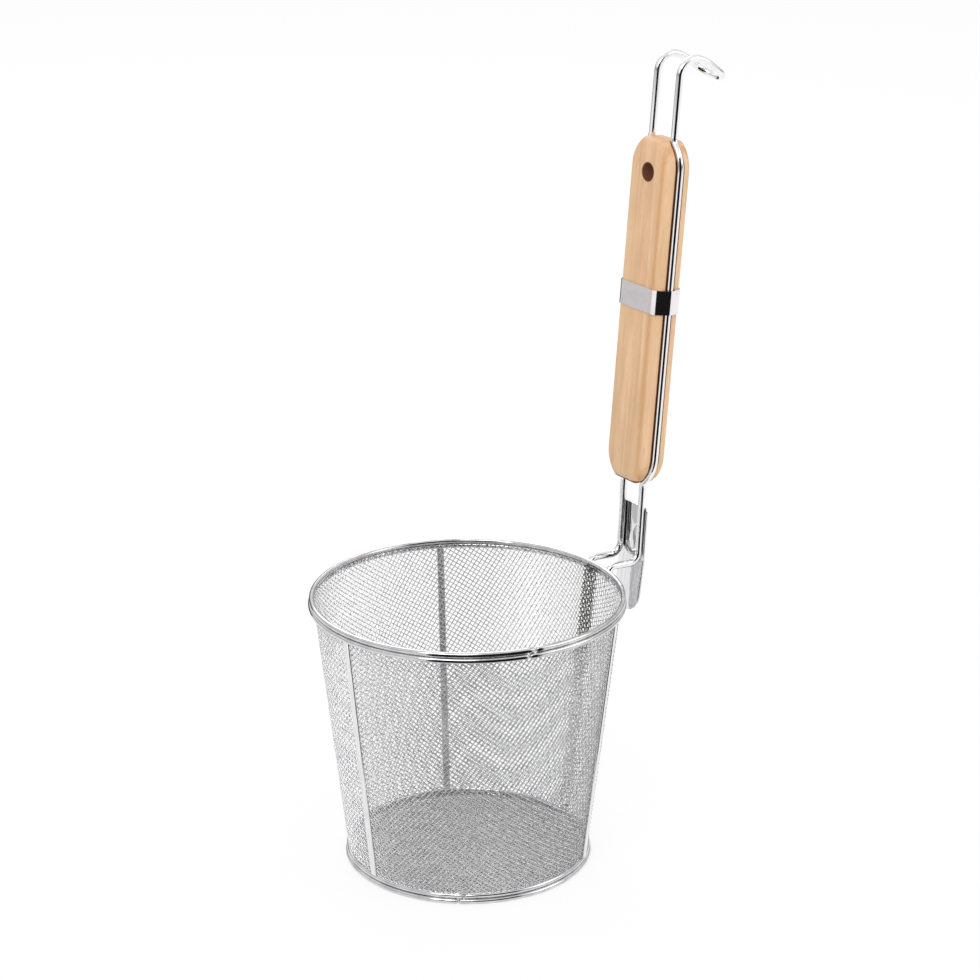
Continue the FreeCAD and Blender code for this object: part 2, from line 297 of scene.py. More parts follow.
@dataclass(frozen=True)
class BeechFinish:
    """Smooth bare beech: long soft grain along the grip and short flecks, with painted shade in the hole, in
    the grooves, at the lower end and along a line near the face's edge.

    Attributes:
        name: material name.
        pale: colour of the light wood.
        warm: colour of the grain bands.
        fleck: colour of the flecks.
        cut: colour of the painted shade in the hole, in the grooves and at the lower end.
        foot: middle of the grip's lower end, in metres.
        lean: how far the grip leans from upright, in degrees, towards +X.
        groove: distance of each groove's middle from the middle plane, in metres.
        hole: height of the hole above the lower end, in metres.
        edge_shade: distance from the middle plane of a painted shade line near the edge of the grip's face,
            in metres.
    """

    name: str
    pale: Triple
    warm: Triple
    fleck: Triple
    cut: Triple
    foot: Triple
    lean: float
    groove: float
    hole: float
    edge_shade: float

    def build(self) -> bpy.types.Material:
        """Make the material.

        Returns:
            The material.
        """
        material, nodes = new_material(self.name)
        place = nodes.add("ShaderNodeTexCoord").outputs["Object"]
        above = nodes.add("ShaderNodeVectorMath", place, self.foot, operation="SUBTRACT")
        turned = (0, -math.radians(self.lean), 0)
        place = nodes.add("ShaderNodeMapping", above, vector_type="POINT", Rotation=turned).outputs[0]

        bands = nodes.noise(place, (170, 170, 7), 3.0, 0.55, 1.3)
        blotches = nodes.noise(place, (70, 70, 28), 2.0, 0.55, 0.8)
        fibres = nodes.noise(place, (1100, 1100, 26), 2.0, 0.55)
        flecks = nodes.noise(place, (1300, 1300, 190), 1.0, 0.55)
        colour = nodes.ramp(bands, [(0.34, self.warm), (0.60, self.pale)])
        dull = nodes.ramp(blotches, [(0.32, (0.90, 0.86, 0.82)), (0.62, (1, 1, 1))])
        colour = nodes.blend("MULTIPLY", 0.7, colour, dull)
        fine = nodes.ramp(fibres, [(0.3, (0.88, 0.86, 0.83)), (0.65, (1, 1, 1))])
        colour = nodes.blend("MULTIPLY", 0.55, colour, fine)
        spots = nodes.ramp(flecks, [(0.67, (0, 0, 0)), (0.76, (0.42, 0.42, 0.42))])
        colour = nodes.blend("MIX", spots, colour, self.fleck)
        # Painted shade along a line near the edge of the grip's face
        beside = nodes.smooth(nodes.away(place, (0, 1, 0), (0, self.edge_shade, 0)), 0.0021, 0.0004, (0.0, 0.8))
        colour = nodes.blend("MULTIPLY", beside, colour, (0.90, 0.76, 0.60))

        mirror = nodes.add("ShaderNodeVectorMath", place, operation="ABSOLUTE")
        # Axes that count, middle and reach of each place with painted shade: the lower end, the grooves and
        # the hole
        end = ((0, 0, 1), (0, 0, 0), 0.0015)
        groove = ((1, 1, 0), (0, self.groove, 0), 0.00245)
        hole = ((0, 1, 1), (0, 0, self.hole), 0.00425)
        for axes, middle, reach in (end, groove, hole):
            distance = nodes.away(mirror.outputs[0], axes, middle)
            colour = nodes.blend("MIX", nodes.smooth(distance, reach * 1.12, reach), colour, self.cut)

        rough = nodes.add("ShaderNodeMapRange", fibres, 0.0, 1.0, 0.62, 0.5)
        bump = nodes.add("ShaderNodeBump", Strength=0.18, Distance=0.0001, Height=fibres)
        shader = nodes.add("ShaderNodeBsdfPrincipled", Base_Color=colour, Roughness=rough, Normal=bump)
        nodes.add("ShaderNodeOutputMaterial", shader)
        return material


class Finish(Enum):
    """The finishes on the basket."""

    WIRE = SteelFinish("polished_wire", (0.82, 0.82, 0.82), (0.92, 0.92, 0.92), (0.06, 0.11), (260, 260, 60))
    # Darker copy of the handle wire's steel: painted shade for the darker reflections on the rings
    RING = SteelFinish("ring_wire", (0.52, 0.52, 0.53), (0.72, 0.72, 0.73), (0.08, 0.14), (160, 160, 160))
    # The cloth's last number is the half width of a painted shade along its overlapping seam
    CLOTH = SteelFinish(
        "cloth_wire", (0.52, 0.52, 0.53), (0.88, 0.88, 0.89), (0.2, 0.3), (500, 500, 500), 0.0048
    )
    # Darker copy of the cloth's steel: painted shade for the shade inside and under the basket
    FLOOR = SteelFinish("floor_wire", (0.26, 0.26, 0.26), (0.56, 0.56, 0.56), (0.20, 0.30), (500, 500, 500))
    STRIP = SteelFinish("rib_strip", (0.70, 0.70, 0.70), (0.84, 0.84, 0.84), (0.09, 0.16), (900, 900, 60))
    # The band's lavender tint is a painted reflection of the room
    BAND = SteelFinish("band_sheet", (0.80, 0.75, 0.77), (0.90, 0.85, 0.87), (0.08, 0.12), (60, 60, 140))
    PLATE = SteelFinish("plate_sheet", (0.66, 0.66, 0.67), (0.83, 0.83, 0.84), (0.04, 0.08), (500, 900, 20))
    BEECH = BeechFinish(
        "beech",
        pale=(0.80, 0.535, 0.32),
        warm=(0.70, 0.44, 0.245),
        fleck=(0.40, 0.20, 0.09),
        # Colour of the painted shade in the hole, the grooves and at the lower end
        cut=(0.20, 0.075, 0.035),
        foot=(0.09304, 0.0, 0.1652),
        lean=4.7,
        groove=0.0144,
        hole=0.1453,
        # Painted shade line near the edge of the grip's face
        edge_shade=-0.0106,
    )

    def material(self) -> bpy.types.Material:
        """The finish's material, made on first use.

        Returns:
            The material.
        """
        return bpy.data.materials.get(self.value.name) or self.value.build()


# Helpers that make meshes


def show(name: str, data: bpy.types.ID) -> bpy.types.Object:
    """Object in the scene.

    Args:
        name: its name.
        data: its mesh, curve, lamp or camera.

    Returns:
        The object.
    """
    made = bpy.data.objects.new(name, data)
    bpy.context.scene.collection.objects.link(made)
    return made


def meshed(name: str, shape: Shape | bpy.types.Mesh) -> bpy.types.Mesh:
    """Mesh with a name, from a mesh or from a bmesh, which is freed.

    Args:
        name: the mesh's name.
        shape: the shape.

    Returns:
        The mesh.
    """
    if isinstance(shape, bpy.types.Mesh):
        shape.name = name
        return shape
    mesh = bpy.data.meshes.new(name)
    shape.to_mesh(mesh)
    shape.free()
    return mesh


def settle(
    name: str,
    source: Shape | bpy.types.Mesh,
    finish: Finish,
    stands_for: tuple[str, ...],
    sharp: float = 35.0,
) -> None:
    """Turn a finished shape into a piece that rides on the basket.

    Args:
        name: the piece's name.
        source: the shape, placed in the part's frame.
        finish: its finish.
        stands_for: CAD nodes that it stands for.
        sharp: edges that turn further than this, in degrees, stay crisp.
    """
    mesh = meshed(name, source)
    mesh.polygons.foreach_set("use_smooth", [True] * len(mesh.polygons))
    mesh.set_sharp_from_angle(angle=math.radians(sharp))
    mesh.materials.clear()
    mesh.materials.append(finish.material())
    piece = show(name, mesh)
    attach(piece, "root")
    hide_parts(*stands_for)
    log.info("%s: %d faces", name, len(mesh.polygons))


def wires(paths: list[list[Vector]], radius: float, resolution: int) -> bpy.types.Mesh:
    """Round wires along rows of points.

    Args:
        paths: the centre lines, in metres.
        radius: the wires' radius in millimetres.
        resolution: roundness of the section; the wires have 4 sides at 0 and 2 more for each step.

    Returns:
        One mesh with every wire in it.
    """
    curve = bpy.data.curves.new("wires", "CURVE")
    curve.dimensions = "3D"
    curve.bevel_depth = radius * MM
    curve.bevel_resolution = resolution
    curve.use_fill_caps = True
    for path in paths:
        spline = curve.splines.new("POLY")
        spline.points.add(len(path) - 1)
        spline.points.foreach_set("co", [value for point in path for value in (*point, 1)])
    holder = show("wires", curve)
    bpy.context.view_layer.update()
    mesh = bpy.data.meshes.new_from_object(holder)
    bpy.data.objects.remove(holder)
    bpy.data.curves.remove(curve)
    return mesh


def bent(corners: Corners, step: float = 5.0) -> list[Vector]:
    """Points along a path of straight runs and round bends.

    Args:
        corners: corner and bend radius, in millimetres, in order.
        step: largest turn between two points, in degrees.

    Returns:
        The points, in millimetres.
    """
    points = [corners[0][0]]
    for (before, _), (corner, radius), (after, _) in zip(corners, corners[1:], corners[2:]):
        back = (before - corner).normalized()
        ahead = (after - corner).normalized()
        turn = math.pi - back.angle(ahead)
        reach = radius * math.tan(turn / 2)
        centre = corner + (back + ahead).normalized() * (radius / math.cos(turn / 2))
        start = corner + back * reach - centre
        steps = max(2, round(math.degrees(turn) / step))
        for count in range(steps + 1):
            a = turn * count / steps
            points.append(centre + start * math.cos(a) - back * (radius * math.sin(a)))
    points.append(corners[-1][0])
    return [p for p, q in zip(points, points[1:]) if (q - p).length > 0.01] + [points[-1]]


def mirrored(corners: Corners) -> Corners:
    """The same path on the -Y side, in reverse order.

    Args:
        corners: corner and bend radius, in order.

    Returns:
        The mirrored path.
    """
    return [(Vector((point.x, -point.y, point.z)), radius) for point, radius in reversed(corners)]


def rounded_corner(corner: Pair, radius: float, start: float, steps: int) -> list[Pair]:
    """Points on a quarter circle.

    Args:
        corner: side and height of its centre.
        radius: its radius.
        start: angle at which it starts, in degrees.
        steps: number of steps.

    Returns:
        Side and height of each point.
    """
    points = []
    for step in range(steps + 1):
        a = math.radians(start + 90 * step / steps)
        points.append((corner[0] + radius * math.cos(a), corner[1] + radius * math.sin(a)))
    return points


def lofted(layers: list[list[Triple]]) -> Shape:
    """Closed shape through a row of outlines with the same number of points.

    Args:
        layers: the outlines, from one end to the other.

    Returns:
        The shape.
    """
    shape = bmesh.new()
    rows = [[shape.verts.new(point) for point in layer] for layer in layers]
    for row, following in zip(rows, rows[1:]):
        for index in range(len(row)):
            after = (index + 1) % len(row)
            shape.faces.new((row[index], row[after], following[after], following[index]))
    shape.faces.new(rows[0][::-1])
    shape.faces.new(rows[-1])
    bmesh.ops.recalc_face_normals(shape, faces=shape.faces)
    return shape


def cut(target: Shape, tools: list[Shape | bpy.types.Mesh]) -> bpy.types.Mesh:
    """Cut shapes out of a shape.

    Args:
        target: shape that is kept.
        tools: shapes that are taken from it.

    Returns:
        The resulting mesh.
    """
    holders = [show("blank", meshed("blank", shape)) for shape in (target, *tools)]
    for tool in holders[1:]:
        step = holders[0].modifiers.new("cut", "BOOLEAN")
        step.operation = "DIFFERENCE"
        step.solver = "EXACT"
        step.object = tool
    bpy.context.view_layer.update()
    depsgraph = bpy.context.evaluated_depsgraph_get()
    result = bpy.data.meshes.new_from_object(holders[0].evaluated_get(depsgraph))
    for holder in holders:
        bpy.data.objects.remove(holder)
    return result


def block(size: Triple, middle: Triple) -> Shape:
    """Box.

    Args:
        size: its size along X, Y and Z.
        middle: where its middle is.

    Returns:
        The box.
    """
    shape = bmesh.new()
    bmesh.ops.create_cube(shape, size=1)
    bmesh.ops.scale(shape, vec=size, verts=shape.verts)
    bmesh.ops.translate(shape, vec=middle, verts=shape.verts)
    return shape


def round_edges(shape: Shape, edges: list[bmesh.types.BMEdge], radius: float, segments: int) -> None:
    """Round some edges of a shape.

    Args:
        shape: the shape.
        edges: its edges that are rounded.
        radius: radius that they get.
        segments: how many flats each is made of.
    """
    bmesh.ops.bevel(
        shape,
        geom=edges,
        offset=radius,
        offset_type="OFFSET",
        segments=segments,
        profile=0.5,
        affect="EDGES",
        material=-1,
    )


def stood(shape: Shape, lean: float, place: Vector) -> Shape:
    """Lean a shape over towards +X, put it at a place and turn its millimetres into metres.

    Args:
        shape: shape whose foot is at the origin, in millimetres.
        lean: how far it leans, in degrees.
        place: where its foot goes, in millimetres.

    Returns:
        The same shape.
    """
    bmesh.ops.rotate(shape, verts=shape.verts, matrix=Matrix.Rotation(math.radians(lean), 3, "Y"))
    bmesh.ops.translate(shape, vec=place, verts=shape.verts)
    bmesh.ops.scale(shape, vec=(MM, MM, MM), verts=shape.verts)
    return shape


# The basket


@dataclass
class Basket:
    """Wire rings, ribs and woven cloth of the basket. Sizes are in millimetres.

    Attributes:
        rim_lower: radius and height of the lower rim ring's centre line.
        rim_upper: the same for the upper rim ring.
        base_lower: the same for the lower base ring.
        base_upper: the same for the upper base ring.
        joints: where each ring's ends meet, in degrees from the handle, in the order above.
        joint_gap: gap between a ring's ends.
        ring_r: radius of the rings' wire.
        cloth_r: radius of the cloth's wires.
        pitch: distance between the cloth's wires.
        lap: half the width of the seam where the cloth's ends lie over each other.
        tuck_start: how far before its end the cloth steps inwards, in half seams.
        tuck_length: length of that step, in half seams.
        rib_turns: where the ribs stand, in degrees from the handle.
        rib_width: width of a rib.
        rib_depth: thickness of a rib.
        rib_round: radius of a rib's long edges.
        rib_rest: distance between a rib and the cloth.
        low: height of the cloth's lower edge.
        high: height of its upper edge.
        floor_inset: how far the floor's wires stop short of the upper base ring's centre line.
    """

    rim_lower: Pair = (71.25, 124.75)
    rim_upper: Pair = (70.75, 127.25)
    base_lower: Pair = (56.15, 1.25)
    base_upper: Pair = (55.65, 3.75)
    joints: tuple[float, ...] = (-101.4, -98.9, -128.1, -125.6)
    joint_gap: float = 0.25
    ring_r: float = 1.25
    cloth_r: float = 0.225
    pitch: float = 1.9
    lap: float = 4.75
    tuck_start: float = 2.2
    tuck_length: float = 1.2
    rib_turns: tuple[float, ...] = (67.2, 187.2, 307.2)
    rib_width: float = 3.5
    rib_depth: float = 1.0
    rib_round: float = 0.45
    rib_rest: float = 0.06
    low: float = 5.0
    high: float = 126.0
    floor_inset: float = 0.95

    def __post_init__(self) -> None:
        """Work out the cone that the cloth lies on."""
        self.low_r = self.base_upper[0]
        touch_z = self.rim_lower[1] + self.ring_r * math.tan(math.pi / 8)
        outer = self.rim_lower[0] - self.ring_r
        self.slope = (outer - self.low_r - 2 * self.cloth_r) / (touch_z - self.low)
        self.lean = math.atan(self.slope)
        self.apex = self.low - self.low_r / self.slope

    def surface(self, turn: float, reach: float, out: float) -> Vector:
        """Point on the cloth's cone.

        Args:
            turn: angle about the axis, in radians from +X.
            reach: distance from the cone's tip, along the cone.
            out: distance outwards from the middle of the cloth.

        Returns:
            The point, in metres.
        """
        radius = reach * math.sin(self.lean) + out * math.cos(self.lean)
        height = self.apex + reach * math.cos(self.lean) - out * math.sin(self.lean)
        return polar(radius, turn, height)

    def wall_paths(self, family: int) -> list[list[Vector]]:
        """Centre lines of one set of the wall's wires, in cloth that is cut on the bias and rolled.

        Args:
            family: 0 for the warp, 1 for the weft.

        Returns:
            The centre lines.
        """
        fan = math.sin(self.lean)
        low = (self.low - self.apex) / math.cos(self.lean)
        high = (self.high - self.apex) / math.cos(self.lean)
        lap_turn = self.lap / (0.5 * (self.low_r + self.rim_lower[0]))
        edge = (math.pi + lap_turn) * fan
        quarter = math.pi / 4
        paths = []
        for line in range(int(high / self.pitch) + 1):
            side = (line + 0.5) * self.pitch
            if side >= high:
                continue
            start = max(math.sqrt(max(low * low - side * side, 0)), side * math.tan(quarter - edge))
            end = min(math.sqrt(high * high - side * side), side * math.tan(quarter + edge))
            if end - start < self.pitch:
                continue
            stations = [start]
            first = math.ceil(start / self.pitch - 0.5)
            last = math.floor(end / self.pitch - 0.5)
            stations += [(count + 0.5) * self.pitch for count in range(first, last + 1)]
            stations += [end]
            path = []
            for station in stations:
                wave = math.cos(math.pi * (station / self.pitch - 0.5 + line + family))
                fan_turn = math.atan2(station, side) - quarter
                if family:
                    fan_turn = -fan_turn
                cloth_turn = fan_turn / fan
                out = self.cloth_r * wave + self.tuck(cloth_turn, lap_turn)
                path.append(self.surface(cloth_turn + math.pi, math.hypot(station, side), out))
            paths.append(path)
        return paths

    def tuck(self, cloth_turn: float, lap_turn: float) -> float:
        """How far the cloth's first end steps inwards to pass under its last end.

        Args:
            cloth_turn: angle from the middle of the cloth, in radians.
            lap_turn: half the seam's width as an angle.

        Returns:
            The step, in millimetres, inwards as a negative number.
        """
        into = (-cloth_turn - (math.pi - self.tuck_start * lap_turn)) / (self.tuck_length * lap_turn)
        into = min(max(into, 0.0), 1.0)
        return -4 * self.cloth_r * into * into * (3 - 2 * into)

    def floor_paths(self, family: int) -> list[list[Vector]]:
        """Centre lines of one set of the floor's wires.

        Args:
            family: 0 for the warp, 1 for the weft.

        Returns:
            The centre lines.
        """
        radius = self.base_upper[0] - self.floor_inset
        height = self.base_lower[1] + self.ring_r
        lines = int(radius / self.pitch)
        paths = []
        for line in range(-lines, lines + 1):
            side = line * self.pitch
            half = math.sqrt(max(radius * radius - side * side, 0))
            count = int(half / self.pitch)
            if count < 1:
                continue
            stations = [-half] + [step * self.pitch for step in range(-count, count + 1)] + [half]
            path = []
            for station in stations:
                lift = self.cloth_r * math.cos(math.pi * (station / self.pitch + line + family))
                x, y = (station, side) if family == 0 else (side, station)
                path.append(Vector((x, y, height + lift)) * MM)
            paths.append(path)
        return paths

    def ring(self, place: Pair, joint: float) -> Shape:
        """Round wire bent to a ring, whose rounded ends meet at a joint.

        Args:
            place: radius and height of its centre line.
            joint: where its ends meet, in degrees from the handle.

        Returns:
            The ring.
        """
        radius, height = place
        half_gap = self.joint_gap / 2 / radius
        start = math.radians(joint) + half_gap
        sweep = 2 * math.pi - 2 * half_gap
        cap = self.ring_r / radius
        tip = [math.radians(22.5 * step) for step in (1, 2, 3)]
        near = [(start + cap * (1 - math.cos(a)), math.sin(a)) for a in tip]
        far = [(start + sweep - cap * (1 - math.cos(a)), math.sin(a)) for a in reversed(tip)]
        run = sweep - 2 * cap
        middle = [(start + cap + run * step / RING_STEPS, 1.0) for step in range(RING_STEPS + 1)]
        layers = []
        for turn, share in near + middle + far:
            layer = []
            for side in range(RING_SIDES):
                a = 2 * math.pi * side / RING_SIDES
                out = self.ring_r * share * math.cos(a)
                layer.append(polar(radius + out, turn, height + self.ring_r * share * math.sin(a)))
            layers.append(layer)
        return lofted(layers)

    def rib(self, turn: float) -> Shape:
        """Strip up the outside of the cloth.

        Args:
            turn: where it stands, in degrees from the handle.

        Returns:
            The strip.
        """
        top = self.rim_lower[1] - self.ring_r
        size = (self.rib_depth, self.rib_width, top - self.low)
        shape = block(size, (self.rib_depth / 2, 0, size[2] / 2))
        long = [edge for edge in shape.edges if edge.calc_length() > size[2] / 2]
        round_edges(shape, long, self.rib_round, 4)
        shear = Matrix.Shear("XY", 3, (0, 0))
        shear[0][2] = self.slope
        bmesh.ops.transform(shape, matrix=shear, verts=shape.verts)
        foot = (self.low_r + 2 * self.cloth_r + self.rib_rest, 0, self.low)
        bmesh.ops.translate(shape, vec=foot, verts=shape.verts)
        bmesh.ops.rotate(shape, verts=shape.verts, matrix=Matrix.Rotation(math.radians(turn), 3, "Z"))
        bmesh.ops.scale(shape, vec=(MM, MM, MM), verts=shape.verts)
        return shape

    def build(self) -> None:
        """Make every piece of the basket."""
        rings = {
            "rim_ring_lower": self.rim_lower,
            "rim_ring_upper": self.rim_upper,
            "base_ring_lower": self.base_lower,
            "base_ring_upper": self.base_upper,
        }
        for (node, place), joint in zip(rings.items(), self.joints):
            settle(node + "_wire", self.ring(place, joint), Finish.RING, (node,), 60)
        for number, turn in enumerate(self.rib_turns, 1):
            settle(f"rib_{number}_strip", self.rib(turn), Finish.STRIP, (f"rib_{number}",))
        for family, thread in enumerate(("warp", "weft")):
            wall = wires(self.wall_paths(family), self.cloth_r, 1)
            settle("wall_" + thread, wall, Finish.CLOTH, ("side_mesh",), 70)
            floor = wires(self.floor_paths(family), self.cloth_r, 1)
            settle("floor_" + thread, floor, Finish.FLOOR, ("base_mesh",), 70)


# The handle


@dataclass
class Handle:
    """Bent wire, wooden grip, collar band and pot clip. Sizes are in millimetres.

    Attributes:
        wire_r: radius of the wire.
        leg_side: distance of each leg from the middle plane.
        grip_side: the same beside the grip.
        hook_side: the same at the hook.
        leg_x: where the legs' line starts, from the basket's axis.
        run_z: height of the level runs from the rim to the legs.
        leg_lean: lean of the legs and the plate, in degrees.
        rim_r: radius of the rim that the wire's feet stand against.
        foot_z: height of the feet's lower ends.
        foot_raise: how much higher the level runs lie at the rim.
        foot_bends: radii of the bends at the runs' two ends.
        lean: lean of the grip, in degrees.
        rise: height of the grip's lower end above the level runs.
        length: length of the grip.
        width: width of the grip.
        depth: thickness of the grip.
        end_round: radius of the arcs that narrow the grip's ends.
        end_half: half the width of the grip's flat ends.
        edge_round: radius of the grip's edges.
        groove: radius of the grooves along the grip's sides.
        bend: radius of the wire's smaller bends beside the grip.
        hole_r: radius of the hanging hole.
        hole_down: distance of its middle from the grip's upper end.
        hook_up: height of the hook's top above the grip.
        hook_arms: bend radius, length and fall in degrees of each of the hook's two arms.
        band_down: distance of the band's middle from the grip's upper end.
        band_height: height of the band.
        band_gap: gap between the band and what it is pulled round.
        band_depth: thickness of the band.
        plate_reach: how far the plate reaches below and above the level runs.
        plate_half: half the plate's width.
        plate_rounds: radii of its lower and its upper corners.
        plate_fall: how far its tongue is bent in, in degrees.
        plate_depth: thickness of the plate.
        plate_edge: radius of its edges.
    """

    wire_r: float = 1.6
    leg_side: float = 7.15
    grip_side: float = 14.4
    hook_side: float = 8.1
    leg_x: float = 90.8
    run_z: float = 126.4
    leg_lean: float = 3.3
    rim_r: float = 72.5
    foot_z: float = 121.0
    foot_raise: float = 0.9
    foot_bends: Pair = (3.2, 5.0)
    lean: float = 4.7
    rise: float = 38.8
    length: float = 160.5
    width: float = 28.6
    depth: float = 14.0
    end_round: float = 16.0
    end_half: float = 6.8
    edge_round: float = 3.4
    groove: float = 2.4
    bend: float = 5.0
    hole_r: float = 4.2
    hole_down: float = 15.2
    hook_up: float = 38.3
    hook_arms: tuple[Triple, ...] = ((8.0, 13.5, 14.0), (18.0, 17.4, 36.5))
    band_down: float = 72.8
    band_height: float = 11.3
    band_gap: float = 0.05
    band_depth: float = 0.6
    plate_reach: Pair = (25.4, 26.4)
    plate_half: float = 9.5
    plate_rounds: Pair = (9.3, 2.2)
    plate_fall: float = 4.5
    plate_depth: float = 0.8
    plate_edge: float = 0.12

    def __post_init__(self) -> None:
        """Work out the grip's own directions and where its end arcs start."""
        tilt = math.radians(self.lean)
        self.up = Vector((math.sin(tilt), 0, math.cos(tilt)))
        foot_x = self.leg_x + math.tan(math.radians(self.leg_lean)) * self.rise
        self.foot = Vector((foot_x, 0, self.run_z + self.rise))
        self.arc_y = self.width / 2 - self.end_round
        self.end_depth = math.sqrt(self.end_round**2 - (self.end_half - self.arc_y) ** 2)

    def on_grip(self, height: float, side: float) -> Vector:
        """Point in the grip's middle plane.

        Args:
            height: how far it is up the grip from its lower end.
            side: how far it is to the side.

        Returns:
            The point, in millimetres.
        """
        return self.foot + self.up * height + Vector((0, side, 0))

    def jog(self, narrow: float) -> Triple:
        """Where the wire follows an end of the grip inwards.

        Args:
            narrow: distance from the middle plane that it reaches.

        Returns:
            Distances of the two corners from the grip's end, and the radius of the wide bend.
        """
        follow = self.end_round + self.grip_side - self.width / 2
        turn = math.acos(1 - (self.grip_side - narrow) / (follow + self.bend))
        start = self.end_depth - (follow + self.bend) * math.sin(turn)
        return start + self.bend * math.tan(turn / 2), self.end_depth - follow * math.tan(turn / 2), follow

    def beside_grip(self, outwards: float) -> Corners:
        """Corners and bend radii of the wire's path beside the grip, on the +Y side.

        Args:
            outwards: how much further out the path lies than the wire.

        Returns:
            The corners, in millimetres.
        """
        near, wide, follow = self.jog(self.leg_side)
        hook_near, hook_wide, follow = self.jog(self.hook_side)
        side = self.grip_side + outwards
        return [
            (self.on_grip(near, self.leg_side + outwards), self.bend),
            (self.on_grip(wide, side), follow),
            (self.on_grip(self.length - hook_wide, side), follow),
            (self.on_grip(self.length - hook_near, self.hook_side + outwards), self.bend),
        ]

    def wire_path(self) -> list[Vector]:
        """The whole wire's centre line, from foot to hook and back to the other foot.

        Returns:
            The points, in millimetres.
        """
        foot_x = math.sqrt((self.rim_r + self.wire_r) ** 2 - self.leg_side**2)
        half = [
            (Vector((foot_x, self.leg_side, self.foot_z)), 0.0),
            (Vector((foot_x, self.leg_side, self.run_z + self.foot_raise)), self.foot_bends[0]),
            (Vector((self.leg_x, self.leg_side, self.run_z)), self.foot_bends[1]),
            *self.beside_grip(0),
        ]
        corner = self.on_grip(self.length + self.hook_up, self.hook_side)
        for bend, arm, fall in self.hook_arms:
            half.append((corner, bend))
            a = math.radians(fall)
            corner = corner + arm * Vector((math.cos(a), 0, -math.sin(a)))
        half.append((corner, self.hook_side))
        return bent(half + mirrored(half))

    def outline(self, inset: float) -> list[Pair]:
        """Outline of the grip, drawn in by an inset.

        Args:
            inset: distance inwards from the full outline.

        Returns:
            Side and height of each point, anticlockwise.
        """
        radius = self.end_round - inset
        turn = math.asin((self.end_depth - inset) / radius)
        quarter = []
        for step in range(ARC_STEPS + 1):
            a = turn * step / ARC_STEPS
            quarter.append((self.arc_y + radius * math.cos(a), self.end_depth - radius * math.sin(a)))
        lower = quarter[::-1]
        upper = [(side, self.length - height) for side, height in quarter]
        right = lower + upper
        return right + [(-side, height) for side, height in right[::-1]]

    def grip(self) -> bpy.types.Mesh:
        """Wooden slab with narrowed ends, rounded edges, a groove along each side and a hanging hole.

        Returns:
            The mesh.
        """
        layers = []
        for flank in (-1, 1):
            for step in range(EDGE_STEPS + 1):
                a = math.pi / 2 * (step if flank < 0 else EDGE_STEPS - step) / EDGE_STEPS
                x = flank * (self.depth / 2 - self.edge_round * (1 - math.cos(a)))
                points = self.outline(self.edge_round * (1 - math.sin(a)))
                layers.append([(x, side, height) for side, height in points])
        slab = stood(lofted(layers), self.lean, self.foot)
        hole = bmesh.new()
        bmesh.ops.create_cone(
            hole,
            cap_ends=True,
            segments=CIRCLE_STEPS,
            radius1=self.hole_r,
            radius2=self.hole_r,
            depth=3 * self.depth,
        )
        bmesh.ops.rotate(hole, verts=hole.verts, matrix=Matrix.Rotation(math.pi / 2, 3, "Y"))
        bmesh.ops.translate(hole, vec=(0, 0, self.length - self.hole_down), verts=hole.verts)
        tools = [stood(hole, self.lean, self.foot)]
        groove = self.beside_grip(self.groove - self.wire_r - GROOVE_PLAY)
        below = (groove[0][0] - self.up * GROOVE_RUN_OUT, 0.0)
        above = (groove[-1][0] + self.up * GROOVE_RUN_OUT, 0.0)
        path = [below, *groove, above]
        for corners in (path, mirrored(path)):
            tools.append(wires([[point * MM for point in bent(corners)]], self.groove, 8))
        return cut(slab, tools)

    def collar(self) -> Shape:
        """Sheet band pulled taut round the grip and both wires.

        Returns:
            The band.
        """
        x = self.depth / 2 - self.edge_round
        y = self.width / 2 - self.edge_round
        posts = [(flip_x * x, flip_y * y, self.edge_round) for flip_x in (-1, 1) for flip_y in (-1, 1)]
        posts += [(0, flip_y * self.grip_side, self.wire_r) for flip_y in (-1, 1)]
        low = self.length - self.band_down - self.band_height / 2
        shape = bmesh.new()
        for post_x, post_y, radius in posts:
            for height in (low, low + self.band_height):
                reach = radius + self.band_gap + self.band_depth
                made = bmesh.ops.create_circle(shape, segments=CIRCLE_STEPS, radius=reach)
                bmesh.ops.translate(shape, vec=(post_x, post_y, height), verts=made["verts"])
        bmesh.ops.convex_hull(shape, input=shape.verts)
        bmesh.ops.delete(shape, geom=[v for v in shape.verts if not v.link_faces], context="VERTS")
        bmesh.ops.delete(shape, geom=[f for f in shape.faces if abs(f.normal.z) > 0.9], context="FACES_ONLY")
        bmesh.ops.delete(shape, geom=[e for e in shape.edges if not e.link_faces], context="EDGES")
        bmesh.ops.dissolve_limit(shape, angle_limit=0.001, verts=shape.verts, edges=shape.edges)
        bmesh.ops.recalc_face_normals(shape, faces=shape.faces)
        bmesh.ops.solidify(shape, geom=shape.faces, thickness=self.band_depth)
        return stood(shape, self.lean, self.foot)

